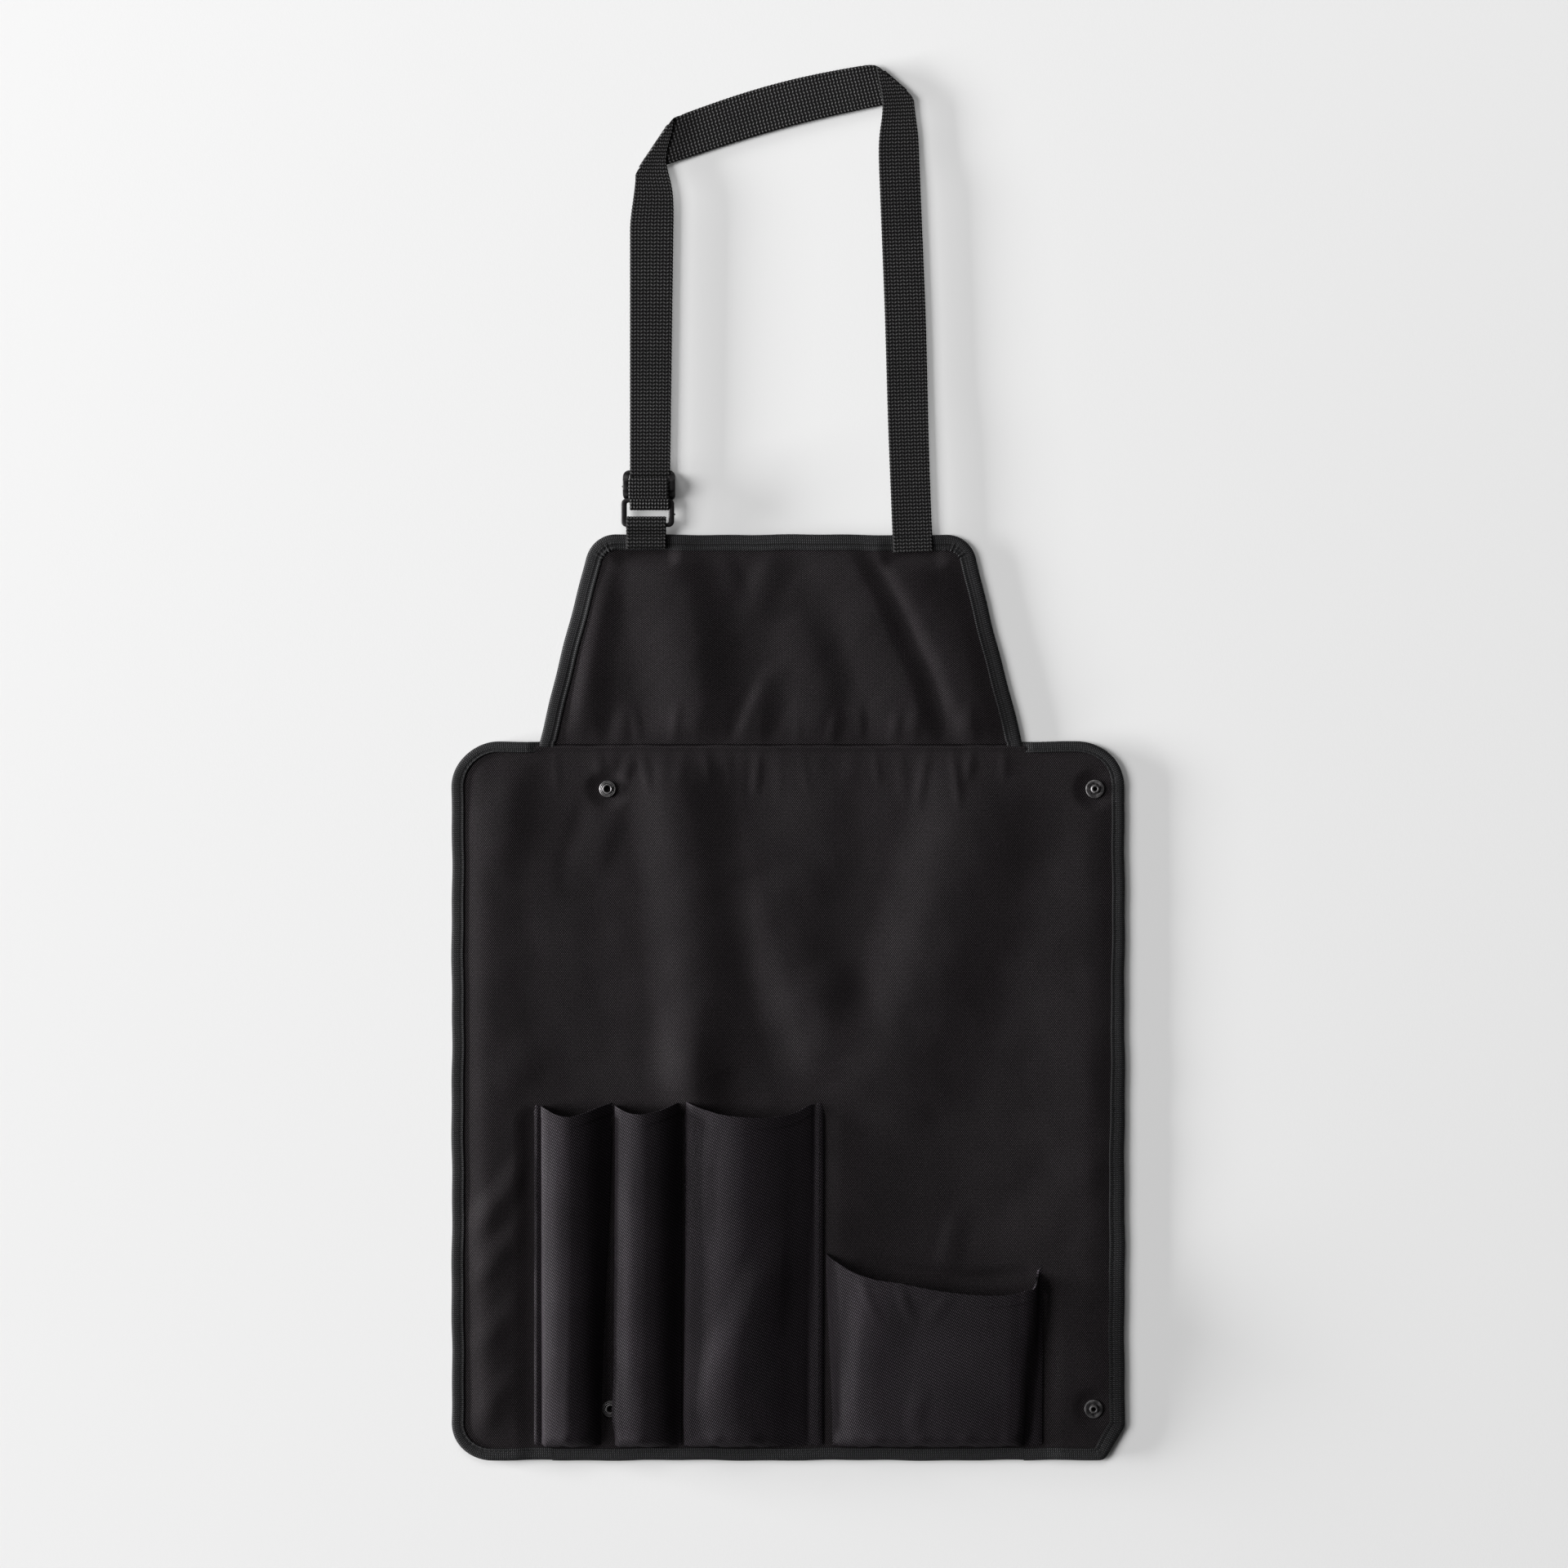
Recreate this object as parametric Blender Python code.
"""Artist smock apron, laid flat on its back. Units are metres.

X runs across the apron, Y from the hem up to the neck strap, and Z up from the surface it lies on.
The origin is the middle of the whole outline, on that surface.
"""

import math

import bmesh
import bpy
from mathutils import Matrix, Vector

# Driving sizes of the sewn panels
LENGTH = 0.888  # hem to the top of the neck strap
BODY_WIDTH = 0.428
BODY_HEIGHT = 0.4575  # hem to shoulders
BODY_CORNER = 0.025
SEAM_DROP = 0.003  # the waist seam lies this far below the shoulders
BIB_HEIGHT = 0.1345
BIB_X = -0.0048  # the bib is set a little left of the body's middle
BIB_SEAM_HALF = 0.1543
BIB_TOP_HALF = 0.1203
BIB_CORNER = 0.020
LEFT_FOLD_X = -0.163  # beside the tool pockets
RIGHT_FOLD_X = 0.165  # beside the mitt pocket

# Cloth, tape and webbing
GAP = 0.0003  # between neighbouring pieces
FOLD_GAP = 0.0004  # each side of a fold line
CLOTH = 0.0008
TAPE = 0.0007
TAPE_WIDTH = 0.009
WEB = 0.0012
WEB_WIDTH = 0.025

# Plastic hardware
PLASTIC_CORNER = 0.0035
BAR_RADIUS = 0.00135
RING_SIZE = (0.0338, 0.0182)
RING_CENTRE = (-0.0892, 0.1587)
TAB_X = -0.0902
SLIDER_SIZE = (0.0333, 0.0197)
SLIDER_CENTRE = (-0.0884, 0.17615)
SLIDER_BAR = 0.0028
SLIDER_RAIL = 0.0033

# Levels above the surface
PANEL_BOTTOM = TAPE + GAP
PANEL_TOP = PANEL_BOTTOM + CLOTH
FRONT = PANEL_TOP + GAP  # where sewn-on pieces start
TAPE_TOP = FRONT + TAPE
WEB_MID = TAPE_TOP + GAP + WEB / 2
RING_Z = WEB_MID + WEB / 2 + GAP + BAR_RADIUS
LOOP_RADIUS = BAR_RADIUS + 0.00035 + WEB / 2  # webbing's middle line around a bar
STRAP_END_MID = WEB_MID - WEB - GAP  # the crossing stretch lies under both others

HEM_Y = -LENGTH / 2
SHOULDER_Y = HEM_Y + BODY_HEIGHT
SEAM_Y = SHOULDER_Y - SEAM_DROP
BIB_TOP_Y = SEAM_Y + BIB_HEIGHT

# Neck strap: its middle line turns at two flat folds
LEFT_BAND_X = -0.0879
LEFT_TURN = Vector((LEFT_BAND_X, 0.3940))
RIGHT_TURN = Vector((0.0685, 0.4333))
RIGHT_END = Vector((0.0794, 0.1340))
RING_LOWER_Y = RING_CENTRE[1] - RING_SIZE[1] / 2 + BAR_RADIUS
RING_UPPER_Y = RING_CENTRE[1] + RING_SIZE[1] / 2 - BAR_RADIUS

# Pockets stand proud of the body: (base left, front left, front right, base right, height)
POCKET_WALL = 0.001
POCKET_BOTTOM_Y = HEM_Y + TAPE_WIDTH + 0.0008
TOOL_POCKET_TOP_Y = -0.2165
TOOL_POCKETS = {
    "tool_pocket_1": (-0.1560, -0.1558, -0.1198, -0.1186, 0.0150),
    "tool_pocket_2": (-0.1069, -0.1092, -0.0728, -0.0660, 0.0150),
    "tool_pocket_3": (-0.0640, -0.0650, -0.0208, 0.0182, 0.0135),
}

MITT_POCKET_LOW = (0.0338, 0.0385, 0.1482, 0.1624, 0.0105)
MITT_POCKET_TOP = (0.0246, 0.0300, 0.1555, 0.1624, 0.0120)
MITT_POCKET_MOUTH_Y = (-0.3140, -0.3310)  # at its left and right ends
POCKET_FLANGES = {"tool_pocket_1": (-0.1612, -0.1556), "tool_pocket_3": (0.0172, 0.0224)}
POCKET_RISE = 0.010  # a pocket reaches its full height this far above its bottom
POCKET_LOW_SHARE = 0.4  # share of its height at the very bottom

SNAP_TOP_Y = -0.0168
SNAP_LOW_Y = -0.4112
SOCKETS = {"upper_left": (-0.1149, SNAP_TOP_Y), "lower_left": (-0.1130, SNAP_LOW_Y)}
STUDS = {"upper_right": (0.1952, SNAP_TOP_Y), "lower_right": (0.1943, SNAP_LOW_Y)}
SNAP_HOLE = 0.0013
RIVET_RADIUS = 0.0009


def clear_scene():
    for obj in list(bpy.data.objects):
        bpy.data.objects.remove(obj, do_unlink=True)


def material(name, colour, roughness, metallic=0.0):
    made = bpy.data.materials.new(name)
    made.use_nodes = True
    shader = made.node_tree.nodes["Principled BSDF"]
    shader.inputs["Base Color"].default_value = (*colour, 1.0)
    shader.inputs["Roughness"].default_value = roughness
    shader.inputs["Metallic"].default_value = metallic
    return made


def solid(name, points, faces, finish=None):
    """One closed mesh object in world coordinates."""
    mesh = bpy.data.meshes.new(name)
    mesh.from_pydata([tuple(p) for p in points], [], faces)
    work = bmesh.new()
    work.from_mesh(mesh)
    bmesh.ops.recalc_face_normals(work, faces=work.faces)
    work.to_mesh(mesh)
    work.free()
    obj = bpy.data.objects.new(name, mesh)
    bpy.context.scene.collection.objects.link(obj)
    if finish:
        mesh.materials.append(finish)
    return obj


def rings_solid(name, rings, finish=None, closed=False):
    """Joins rings of equally many points, and caps both ends unless the last ring meets the first."""
    count = len(rings[0])
    points = [p for ring in rings for p in ring]
    faces = []
    steps = len(rings) if closed else len(rings) - 1
    for i in range(steps):
        here = i * count
        there = (i + 1) % len(rings) * count
        for j in range(count):
            k = (j + 1) % count
            faces.append((here + j, here + k, there + k, there + j))
    if not closed:
        faces.append(tuple(range(count)))
        faces.append(tuple(range(len(points) - count, len(points))))
    return solid(name, points, faces, finish)


def prism(name, outline, low, high, finish=None):
    rings = [[(x, y, z) for x, y in outline] for z in (low, high)]
    return rings_solid(name, rings, finish)


def box(name, low, high, finish=None):
    outline = [(low[0], low[1]), (high[0], low[1]), (high[0], high[1]), (low[0], high[1])]
    return prism(name, outline, low[2], high[2], finish)


def helper(obj):
    obj.hide_render = True
    obj.display_type = "WIRE"
    return obj


def combine(target, other, operation):
    boolean = target.modifiers.new(other.name, "BOOLEAN")
    boolean.operation = operation
    boolean.object = helper(other)


def rounded(corners, step=math.radians(15)):
    """A path through (x, y, radius) corners, with each rounded corner drawn as an arc."""
    path = []
    for i, (x, y, radius) in enumerate(corners):
        here = Vector((x, y))
        if radius == 0:
            path.append(here)
            continue
        back = (Vector(corners[i - 1][:2]) - here).normalized()
        on = (Vector(corners[(i + 1) % len(corners)][:2]) - here).normalized()
        half = back.angle(on) / 2
        centre = here + (back + on).normalized() * (radius / math.sin(half))
        start = here + back * (radius / math.tan(half)) - centre
        turn = math.pi - 2 * half
        sign = 1 if back.x * on.y - back.y * on.x < 0 else -1
        count = max(2, round(turn / step))
        for k in range(count + 1):
            path.append(centre + Matrix.Rotation(sign * turn * k / count, 2) @ start)
    return path


def inward(path, closed=False, level_ends=False):
    """For each point of a path, the offset to its right that moves both its sides in by one metre.

    With level_ends, the path's two ends are cut along X and not square to the path.
    """
    offsets = []
    last = len(path) - 1
    for i, here in enumerate(path):
        before = path[i - 1] if i or closed else None
        after = path[(i + 1) % len(path)] if i < last or closed else None
        ways = []
        if before is not None:
            ways.append((here - before).normalized())
        if after is not None:
            ways.append((after - here).normalized())
        normals = [Vector((way.y, -way.x)) for way in ways]
        middle = sum(normals, Vector((0, 0))).normalized()
        offsets.append(middle / middle.dot(normals[0]))
    if level_ends:
        offsets[0] = Vector((1 / offsets[0].x, 0))
        offsets[-1] = Vector((1 / offsets[-1].x, 0))
    return offsets


def panel(name, path, finish, level_ends=False):
    """Cloth set in from the path to leave room for its binding, its ends joined by a straight edge."""
    inset = TAPE + GAP
    edge = [p + n * inset for p, n in zip(path, inward(path, False, level_ends))]
    return prism(name, edge, PANEL_BOTTOM, PANEL_TOP, finish)


def binding(name, path, finish, level_ends=False):
    """Tape folded round the cloth's edge: a C section swept along the path."""
    section = [
        (0, 0),
        (TAPE_WIDTH, 0),
        (TAPE_WIDTH, TAPE),
        (TAPE, TAPE),
        (TAPE, FRONT),
        (TAPE_WIDTH, FRONT),
        (TAPE_WIDTH, TAPE_TOP),
        (0, TAPE_TOP),
    ]
    rings = []
    for here, side in zip(path, inward(path, False, level_ends)):
        rings.append([(*(here + side * depth), z) for depth, z in section])
    return rings_solid(name, rings, finish)


def ribbon(name, stations, finish):
    """Webbing through (left edge, right edge, unit normal) stations, WEB thick."""
    rings = []
    for left, right, normal in stations:
        half = normal * (WEB / 2)
        rings.append([left - half, right - half, right + half, left + half])
    return rings_solid(name, rings, finish)


def loop_stations(centre_x, route):
    """Stations of webbing WEB_WIDTH wide that follows (y, z) points in a plane across X."""
    half = Vector((WEB_WIDTH / 2, 0, 0))
    route = [Vector(p) for p in route]
    stations = []
    for (y, z), side in zip(route, inward(route)):
        middle = Vector((centre_x, y, z))
        stations.append((middle - half, middle + half, Vector((0, side.x, side.y))))
    return stations


def half_turn(y, z, radius, steps=8):
    """(y, z) points of a half circle on the -Y side, from its top to its bottom."""
    angles = [math.pi / 2 + math.pi * k / steps for k in range(steps + 1)]
    return [(y + radius * math.cos(a), z + radius * math.sin(a)) for a in angles]


def turned(name, profile, centre, finish, steps=24):
    """A profile of (radius, height) points turned about a vertical axis."""
    on_axis = profile[0][0] == 0
    points = []
    for k in range(steps):
        a = 2 * math.pi * k / steps
        for r, z in profile:
            points.append((centre[0] + r * math.cos(a), centre[1] + r * math.sin(a), z))
    rings = [points[i : i + len(profile)] for i in range(0, len(points), len(profile))]
    made = rings_solid(name, rings, finish, closed=True)
    if on_axis:
        work = bmesh.new()
        work.from_mesh(made.data)
        bmesh.ops.remove_doubles(work, verts=work.verts, dist=1e-6)
        bmesh.ops.dissolve_degenerate(work, edges=work.edges, dist=1e-7)
        bmesh.ops.recalc_face_normals(work, faces=work.faces)
        work.to_mesh(made.data)
        work.free()
    made.data.shade_smooth()
    made.data.set_sharp_from_angle(angle=math.radians(30))
    return made


def pivot(name, place):
    """An empty on a joint's axis, for the pieces that move with it."""
    empty = bpy.data.objects.new(name, None)
    empty.location = place
    bpy.context.scene.collection.objects.link(empty)
    return empty


def hang(pieces, empty):
    """Parents the pieces to the empty and leaves them where they are."""
    for obj in pieces:
        obj.data.transform(Matrix.Translation(-empty.location))
        obj.parent = empty


def snap_holes(target, places):
    for label, (x, y) in places.items():
        rim = [(x + SNAP_HOLE * math.cos(a), y + SNAP_HOLE * math.sin(a)) for a in
               [2 * math.pi * k / 16 for k in range(16)]]
        cutter = prism(f"cut_hole_{label}", rim, PANEL_BOTTOM - 0.001, PANEL_TOP + 0.001)
        combine(target, cutter, "DIFFERENCE")


def make_body(cloth, tape):
    """The middle panel with its hem and the short bound edge right of the bib."""
    low = HEM_Y + TAPE + GAP
    left = LEFT_FOLD_X + FOLD_GAP
    right = RIGHT_FOLD_X - FOLD_GAP
    middle = box("body_panel", (left, low, PANEL_BOTTOM), (right, SEAM_Y - FOLD_GAP, PANEL_TOP), cloth)
    snap_holes(middle, SOCKETS)
    binding("hem_binding", [Vector((right, HEM_Y)), Vector((left, HEM_Y))], tape)
    shoulder_start = BIB_X + BIB_SEAM_HALF + 0.002
    binding("shoulder_binding", [Vector((shoulder_start, SHOULDER_Y)), Vector((right, SHOULDER_Y))], tape)


def make_side(side, fold_x, cloth, tape):
    """A side panel and its binding, outside a fold line. side is -1 for left, 1 for right."""
    name = "left_side" if side < 0 else "right_side"
    inner = fold_x + side * FOLD_GAP
    outer = side * BODY_WIDTH / 2
    corners = [
        (inner, HEM_Y, 0),
        (outer, HEM_Y, BODY_CORNER),
        (outer, SHOULDER_Y, BODY_CORNER),
        (inner, SHOULDER_Y, 0),
    ]
    path = rounded(corners)
    if side > 0:
        path.reverse()
    empty = pivot(f"{name}_fold", (fold_x, 0, TAPE_TOP))
    pieces = [panel(f"{name}_panel", path, cloth), binding(f"{name}_binding", path, tape)]
    if side > 0:
        snap_holes(pieces[0], STUDS)
    hang(pieces, empty)
    return empty


def make_bib(cloth, tape):
    seam = SEAM_Y + FOLD_GAP
    corners = [
        (BIB_X - BIB_SEAM_HALF, seam, 0),
        (BIB_X - BIB_TOP_HALF, BIB_TOP_Y, BIB_CORNER),
        (BIB_X + BIB_TOP_HALF, BIB_TOP_Y, BIB_CORNER),
        (BIB_X + BIB_SEAM_HALF, seam, 0),
    ]
    path = rounded(corners)
    return [panel("bib_panel", path, cloth, True), binding("bib_binding", path, tape, True)]


def pocket_section(shape, y_left, y_right, share, inset=0.0):
    """Four corners of a pocket's cross-section, share of its full height, set in by inset for its inside."""
    base_left, front_left, front_right, base_right, height = shape
    top = FRONT + height * share - inset
    base = FRONT if inset == 0 else FRONT - 0.001
    corners = [
        (base_left + inset, base),
        (front_left + inset, top),
        (front_right - inset, top),
        (base_right - inset, base),
    ]
    width = base_right - base_left
    section = []
    for x, z in corners:
        along = (x - base_left) / width
        section.append((x, y_left + (y_right - y_left) * along, z))
    return section


def make_pocket(name, low_shape, top_shape, top_left, top_right, finish):
    """A proud pocket, open at its top, and backed by the body panel."""
    low = POCKET_BOTTOM_Y
    full = low + POCKET_RISE
    outer = [
        pocket_section(low_shape, low, low, POCKET_LOW_SHARE),
        pocket_section(low_shape, full, full, 1.0),
        pocket_section(top_shape, top_left, top_right, 1.0),
    ]
    floor = low + POCKET_WALL
    past = 0.002
    inner = [
        pocket_section(low_shape, floor, floor, POCKET_LOW_SHARE, POCKET_WALL),
        pocket_section(low_shape, full, full, 1.0, POCKET_WALL),
        pocket_section(top_shape, top_left + past, top_right + past, 1.0, POCKET_WALL),
    ]
    made = rings_solid(name, outer, finish)
    combine(made, rings_solid(f"cut_{name}", inner), "DIFFERENCE")
    return made


def make_pockets(cloth):
    made = {}
    for name, shape in TOOL_POCKETS.items():
        made[name] = make_pocket(name, shape, shape, TOOL_POCKET_TOP_Y, TOOL_POCKET_TOP_Y, cloth)
    for name, (left, right) in POCKET_FLANGES.items():
        low = (left, POCKET_BOTTOM_Y + POCKET_WALL, FRONT)
        high = (right, TOOL_POCKET_TOP_Y - POCKET_WALL, FRONT + CLOTH)
        combine(made[name], box(f"flange_{name}", low, high), "UNION")
    make_pocket("mitt_pocket", MITT_POCKET_LOW, MITT_POCKET_TOP, *MITT_POCKET_MOUTH_Y, cloth)


def make_tab(web):
    """Webbing folded round the ring's lower bar, both ends sewn to the front of the bib."""
    end_y = BIB_TOP_Y - TAPE_WIDTH
    apex_y = RING_LOWER_Y + 0.0027
    turn = [(2 * apex_y - y, z) for y, z in half_turn(apex_y, RING_Z, LOOP_RADIUS)]
    sewn_z = WEB_MID + WEB + GAP
    route = [(end_y, sewn_z), (BIB_TOP_Y - 0.0006, sewn_z), (RING_LOWER_Y - 0.0008, turn[0][1])]
    route += turn
    route += [(end_y, WEB_MID)]
    return ribbon("strap_tab", loop_stations(TAB_X, route), web)


def crease(centre, way_in, way_out):
    """Ends of the crease where flat webbing going way_in is folded over to go way_out."""
    along = (way_in + way_out).normalized()
    half = WEB_WIDTH / 2 / abs(way_in.x * along.y - way_in.y * along.x)
    return centre - along * half, centre + along * half


def make_neck_strap(web):
    """One length of webbing: a loop round the ring's upper bar, up, over, down, and to the flex line."""
    up = Vector((0, 1))
    over = (RIGHT_TURN - LEFT_TURN).normalized()
    down = (RIGHT_END - RIGHT_TURN).normalized()
    apex_y = RING_UPPER_Y - 0.0033
    route = [(RING_UPPER_Y + 0.0020, RING_Z + LOOP_RADIUS)]
    route += half_turn(apex_y, RING_Z, LOOP_RADIUS)
    route += [(RING_UPPER_Y + 0.0020, RING_Z - LOOP_RADIUS)]
    stations = loop_stations(LEFT_BAND_X, route)
    low_left, high_left = crease(LEFT_TURN, up, over)
    high_right, low_right = crease(RIGHT_TURN, over, down)
    z_up = Vector((0, 0, 1))
    middle_z = (WEB_MID + STRAP_END_MID) / 2
    outward_left = Vector((-(up + over).y, (up + over).x, 0)).normalized()
    outward_right = Vector((-(over + down).y, (over + down).x, 0)).normalized()
    bulge = (WEB_MID - STRAP_END_MID) / 2

    def at(point, z, away=Vector((0, 0, 0))):
        return Vector((*point, z)) + away

    lower = -z_up
    sign = 1 if stations[-1][2].z > 0 else -1
    stations = [(a, b, n * sign) for a, b, n in stations]
    stations.append((at(low_left, WEB_MID), at(high_left, WEB_MID), z_up))
    stations.append(
        (
            at(low_left, middle_z, outward_left * bulge),
            at(high_left, middle_z, outward_left * bulge),
            outward_left,
        )
    )
    stations.append((at(low_left, STRAP_END_MID), at(high_left, STRAP_END_MID), lower))
    stations.append((at(low_right, STRAP_END_MID), at(high_right, STRAP_END_MID), lower))
    stations.append(
        (
            at(low_right, middle_z, outward_right * bulge),
            at(high_right, middle_z, outward_right * bulge),
            outward_right,
        )
    )
    stations.append((at(low_right, WEB_MID), at(high_right, WEB_MID), z_up))
    half = Vector((-down.y, down.x)) * (WEB_WIDTH / 2)
    flex = RIGHT_TURN + down * ((RING_LOWER_Y + FOLD_GAP - RIGHT_TURN.y) / down.y)
    stations.append((at(flex + half, WEB_MID), at(flex - half, WEB_MID), z_up))
    return ribbon("neck_strap", stations, web)


def make_strap_anchor(web):
    """The strap's right end, sewn to the front of the bib."""
    down = (RIGHT_END - RIGHT_TURN).normalized()
    half = Vector((-down.y, down.x)) * (WEB_WIDTH / 2)
    flex = RIGHT_TURN + down * ((RING_LOWER_Y - FOLD_GAP - RIGHT_TURN.y) / down.y)
    outline = [flex + half, flex - half, RIGHT_END - half, RIGHT_END + half]
    return prism("neck_strap_anchor", outline, WEB_MID - WEB / 2, WEB_MID + WEB / 2, web)


def make_ring(plastic):
    """A round-barred rectangular ring."""
    half_x = RING_SIZE[0] / 2 - BAR_RADIUS
    half_y = RING_SIZE[1] / 2 - BAR_RADIUS
    x, y = RING_CENTRE
    signs = ((-1, -1), (-1, 1), (1, 1), (1, -1))
    bend = PLASTIC_CORNER - BAR_RADIUS
    corners = [(x + sx * half_x, y + sy * half_y, bend) for sx, sy in signs]
    path = rounded(corners, math.radians(22.5))
    sides = 12
    rings = []
    for here, way in zip(path, inward(path, closed=True)):
        ring = []
        for k in range(sides):
            a = 2 * math.pi * (k + 0.5) / sides
            flat = here + way * (BAR_RADIUS * math.cos(a))
            ring.append((*flat, RING_Z + BAR_RADIUS * math.sin(a)))
        rings.append(ring)
    made = rings_solid("strap_ring", rings, plastic, closed=True)
    made.data.shade_smooth()
    return made


def make_slider(plastic):
    """Three-bar slider: the webbing runs over the end bars and under the raised middle bar."""
    x, y = SLIDER_CENTRE
    half_x = SLIDER_SIZE[0] / 2
    half_y = SLIDER_SIZE[1] / 2
    low = GAP
    bar_top = WEB_MID - WEB / 2 - GAP
    middle_low = WEB_MID + WEB / 2 + GAP + WEB + GAP
    top = middle_low + 0.0025
    side_view = [
        (-half_y, low),
        (half_y, low),
        (half_y, bar_top),
        (half_y - 0.0020, bar_top + 0.0001),
        (0.0026, top),
        (-0.0026, top),
        (-half_y + 0.0020, bar_top + 0.0001),
        (-half_y, bar_top),
    ]
    rings = [[(x + side, y + v, z) for v, z in side_view] for side in (-half_x, half_x)]
    made = rings_solid("strap_slider", rings, plastic)
    signs = ((-1, -1), (-1, 1), (1, 1), (1, -1))
    plan = rounded([(x + sx * half_x, y + sy * half_y, PLASTIC_CORNER) for sx, sy in signs])
    combine(made, prism("keep_plan", plan, -0.001, 0.020), "INTERSECT")
    inner = half_x - SLIDER_RAIL
    past = half_y + 0.001
    middle_half = 0.0012
    window = half_y - SLIDER_BAR
    left, right = x - inner, x + inner
    channel = box("cut_channel", (left, y - past, bar_top), (right, y + past, middle_low))
    upper = box("cut_upper", (left, y + middle_half, bar_top), (right, y + past, 0.020))
    lower = box("cut_lower", (left, y - past, bar_top), (right, y - middle_half, 0.020))
    under = box("cut_under", (left, y - window, -0.001), (right, y + window, middle_low - 0.0005))
    for cutter in (channel, upper, lower, under):
        combine(made, cutter, "DIFFERENCE")
    return made


def make_strap_tail(web):
    """The strap's free end, looped round the slider's middle bar and stitched to itself."""
    y = SLIDER_CENTRE[1]
    top = WEB_MID + WEB / 2 + GAP + WEB + GAP + 0.0025
    over_z = top + GAP + WEB / 2
    under_z = WEB_MID + WEB + GAP
    radius = (over_z - under_z) / 2
    turn_y = y + 0.0018
    turn = half_turn(turn_y, under_z + radius, radius)
    turn = [(2 * turn_y - v, z) for v, z in turn]
    route = [(RING_UPPER_Y + 0.0024, RING_Z + LOOP_RADIUS), (y - 0.0030, over_z)]
    route += turn
    route += [(y - 0.0060, under_z)]
    return ribbon("strap_tail", loop_stations(LEFT_BAND_X, route), web)


def make_socket(label, centre, metal):
    """Snap socket: a grooved ring, the split spring in its groove, and the riveted cap behind."""
    z = FRONT
    profile = [
        (0.0021, z),
        (0.0053, z),
        (0.0053, z + 0.0010),
        (0.0049, z + 0.0018),
        (0.0045, z + 0.0018),
        (0.0045, z + 0.0007),
        (0.0033, z + 0.0007),
        (0.0033, z + 0.0019),
        (0.0029, z + 0.0022),
        (0.0021, z + 0.0022),
    ]
    turned(f"snap_{label}_socket", profile, centre, metal)
    wire = 0.0003
    ring_radius = 0.0039
    rings = []
    for k in range(21):
        a = math.radians(20 + 320 * k / 20)
        out = Vector((math.cos(a), math.sin(a), 0))
        middle = Vector((*centre, z + 0.0013)) + out * ring_radius
        angles = [2 * math.pi * j / 6 for j in range(6)]
        up = Vector((0, 0, wire))
        rings.append([middle + out * (wire * math.cos(b)) + up * math.sin(b) for b in angles])
    rings_solid(f"snap_{label}_spring", rings, metal)


def make_stud(label, centre, metal):
    """Snap stud: a washer-like flange with a hollow post."""
    z = FRONT
    profile = [
        (0.0012, z),
        (0.0059, z),
        (0.0059, z + 0.0006),
        (0.0054, z + 0.0012),
        (0.0047, z + 0.0011),
        (0.0036, z + 0.0006),
        (0.0020, z + 0.0008),
        (0.0019, z + 0.0022),
        (0.0021, z + 0.0028),
        (0.0018, z + 0.0034),
        (0.0012, z + 0.0034),
    ]
    return turned(f"snap_{label}_stud", profile, centre, metal)


def make_cap(label, centre, metal):
    """Round cap on the back, whose rivet passes through the cloth into the front half."""
    profile = [
        (0, 0),
        (0.0048, 0),
        (0.0054, 0.0003),
        (0.0054, TAPE),
        (RIVET_RADIUS, TAPE),
        (RIVET_RADIUS, FRONT + 0.0010),
        (0, FRONT + 0.0010),
    ]
    return turned(f"snap_{label}_cap", profile, centre, metal)


def main():
    clear_scene()
    cloth = material("apron_cloth", (0.020, 0.020, 0.022), 0.75)
    tape = material("binding_tape", (0.016, 0.016, 0.017), 0.85)
    web = material("strap_webbing", (0.022, 0.021, 0.022), 0.80)
    plastic = material("buckle_plastic", (0.018, 0.017, 0.018), 0.45)
    metal = material("snap_metal", (0.060, 0.058, 0.060), 0.35, 0.9)

    make_body(cloth, tape)
    make_pockets(cloth)
    make_side(-1, LEFT_FOLD_X, cloth, tape)
    right_fold = make_side(1, RIGHT_FOLD_X, cloth, tape)
    for label, centre in SOCKETS.items():
        make_socket(label, centre, metal)
        make_cap(label, centre, metal)
    for label, centre in STUDS.items():
        hang([make_stud(label, centre, metal), make_cap(label, centre, metal)], right_fold)

    bib_fold = pivot("bib_fold", (0, SEAM_Y, TAPE_TOP))
    hang(make_bib(cloth, tape), bib_fold)
    hang([make_tab(web), make_strap_anchor(web)], bib_fold)
    neck_loop = pivot("neck_loop", (0, RING_LOWER_Y, RING_Z))
    hang([make_neck_strap(web), make_ring(plastic)], neck_loop)
    slider_rest = pivot("slider_rest", (*SLIDER_CENTRE, WEB_MID))
    slider = make_slider(plastic)
    for modifier in slider.modifiers:
        hang([modifier.object], slider_rest)
    hang([slider, make_strap_tail(web)], slider_rest)


main()
